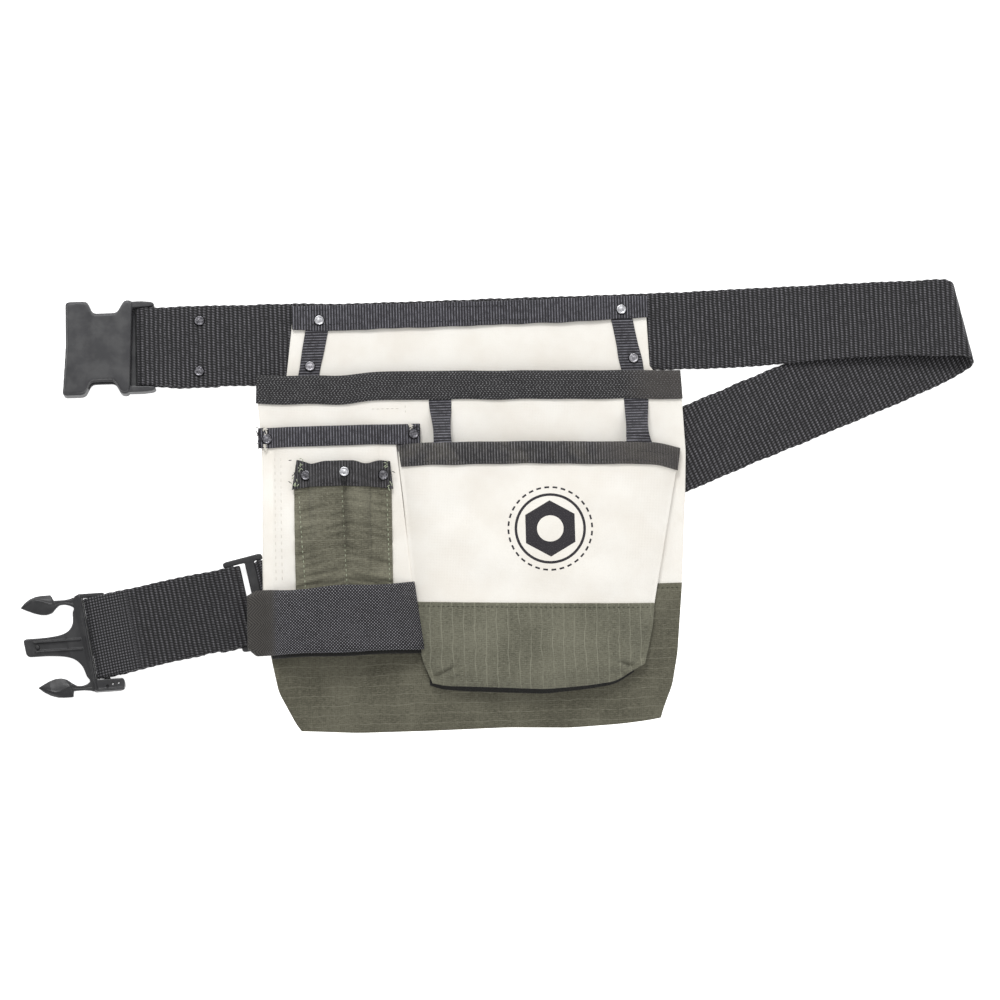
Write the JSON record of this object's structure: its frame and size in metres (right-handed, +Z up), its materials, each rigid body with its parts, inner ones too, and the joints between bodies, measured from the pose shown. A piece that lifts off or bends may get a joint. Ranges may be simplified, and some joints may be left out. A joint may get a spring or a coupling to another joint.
{
  "type": "tool belt",
  "caption": "Webbing waist belt with a side-release buckle and length slider, carrying a riveted canvas pouch with layered open pockets, a tool sleeve and a hammer loop.",
  "frame": {"origin": "centre of the footprint on the surface that the belt lies on", "axes": "+X along the belt's length, towards its folded end; +Y across it, towards the pouch's riveted top; +Z up, out of the pouch's front"},
  "size_m": [0.5916, 0.2856, 0.0347],
  "materials": {
    "webbing": "ribbed polypropylene webbing",
    "plastic": "moulded, fine grain",
    "canvas": "plain woven cotton duck",
    "ripstop": "coated ripstop weave",
    "tape": "ribbed binding tape",
    "nickel": "polished nickel plate",
    "dark_metal": "blackened, worn"
  },
  "bodies": {
    "belt_and_pouch": {"belt_upper": "webbing", "belt_right": "webbing", "belt_lower": "webbing", "back_panel": "canvas", "main_pocket_panel": "canvas", "main_pocket_base": "ripstop", "main_pocket_tape": "tape", "top_tape": "tape", "side_tape_left": "tape", "side_tape_right": "tape", "left_pocket_panel": "canvas", "left_pocket_tape": "tape", "tool_sleeve": "ripstop", "tool_sleeve_tape": "tape", "hammer_loop": "tape", "front_pocket_panel": "canvas", "front_pocket_base": "ripstop", "front_pocket_tape": "tape", "pocket_strap_left": "tape", "pocket_strap_right": "tape", "rivet_belt_upper": "dark_metal", "rivet_belt_lower": "dark_metal", "rivet_tab_top_left": "nickel", "rivet_tab_top_right": "nickel", "rivet_tab_low_left": "dark_metal", "rivet_tab_low_right": "dark_metal", "rivet_pocket_left": "dark_metal", "rivet_pocket_right": "dark_metal", "rivet_sleeve_left": "dark_metal", "rivet_sleeve_middle": "nickel", "rivet_sleeve_right": "dark_metal"},
    "female_end": {"female_buckle": "plastic"},
    "slider_frame": {"slider": "plastic", "adjuster_anchor": "webbing", "adjuster_run": "webbing"},
    "buckle_strap": {"buckle_loop": "webbing", "tail_run": "webbing"},
    "strap_tail": {"tail_end": "webbing"},
    "male_end": {"male_buckle": "plastic"},
    "upper_prong": {"prong_upper": "plastic"},
    "lower_prong": {"prong_lower": "plastic"}
  },
  "joints": [
    {"name": "female_buckle_swivel", "type": "hinge", "parent": "belt_and_pouch", "child": "female_end", "pos_m": [-0.22064, 0.0996, 0.006], "axis": [-0.0349, 0.9994, 0], "range_deg": [-60, 60]},
    {"name": "slider_lift", "type": "hinge", "parent": "belt_and_pouch", "child": "slider_frame", "pos_m": [-0.14222, -0.06037, 0.0055], "axis": [-0.2334, 0.9724, 0], "range_deg": [0, 10]},
    {"name": "belt_length", "type": "slide", "parent": "slider_frame", "child": "buckle_strap", "axis": [0.9724, 0.2334, 0], "range_m": [-0.025, 0.035], "deforming": ["adjuster_run"]},
    {"name": "tail_slide", "type": "slide", "parent": "buckle_strap", "child": "strap_tail", "axis": [0.9724, 0.2334, 0], "range_m": [-0.025, 0.035], "deforming": ["tail_run"]},
    {"name": "male_buckle_swivel", "type": "hinge", "parent": "buckle_strap", "child": "male_end", "pos_m": [-0.24412, -0.08483, 0.00405], "axis": [-0.1219, 0.9925, 0], "range_deg": [-35, 35]},
    {"name": "lower_prong_press", "type": "hinge", "parent": "male_end", "child": "lower_prong", "pos_m": [-0.2555, -0.11192, 0.00405], "axis": [0, 0, 1], "range_deg": [-10, 0], "stiffness_Nm_per_rad": 0.4},
    {"name": "upper_prong_press", "type": "hinge", "parent": "male_end", "child": "upper_prong", "pos_m": [-0.26172, -0.0613, 0.00405], "axis": [0, 0, 1], "range_deg": [0, 10], "stiffness_Nm_per_rad": 0.4}
  ],
  "couplings": [
    {"joint": "tail_slide", "follows": "belt_length", "ratio": 1}
  ]
}
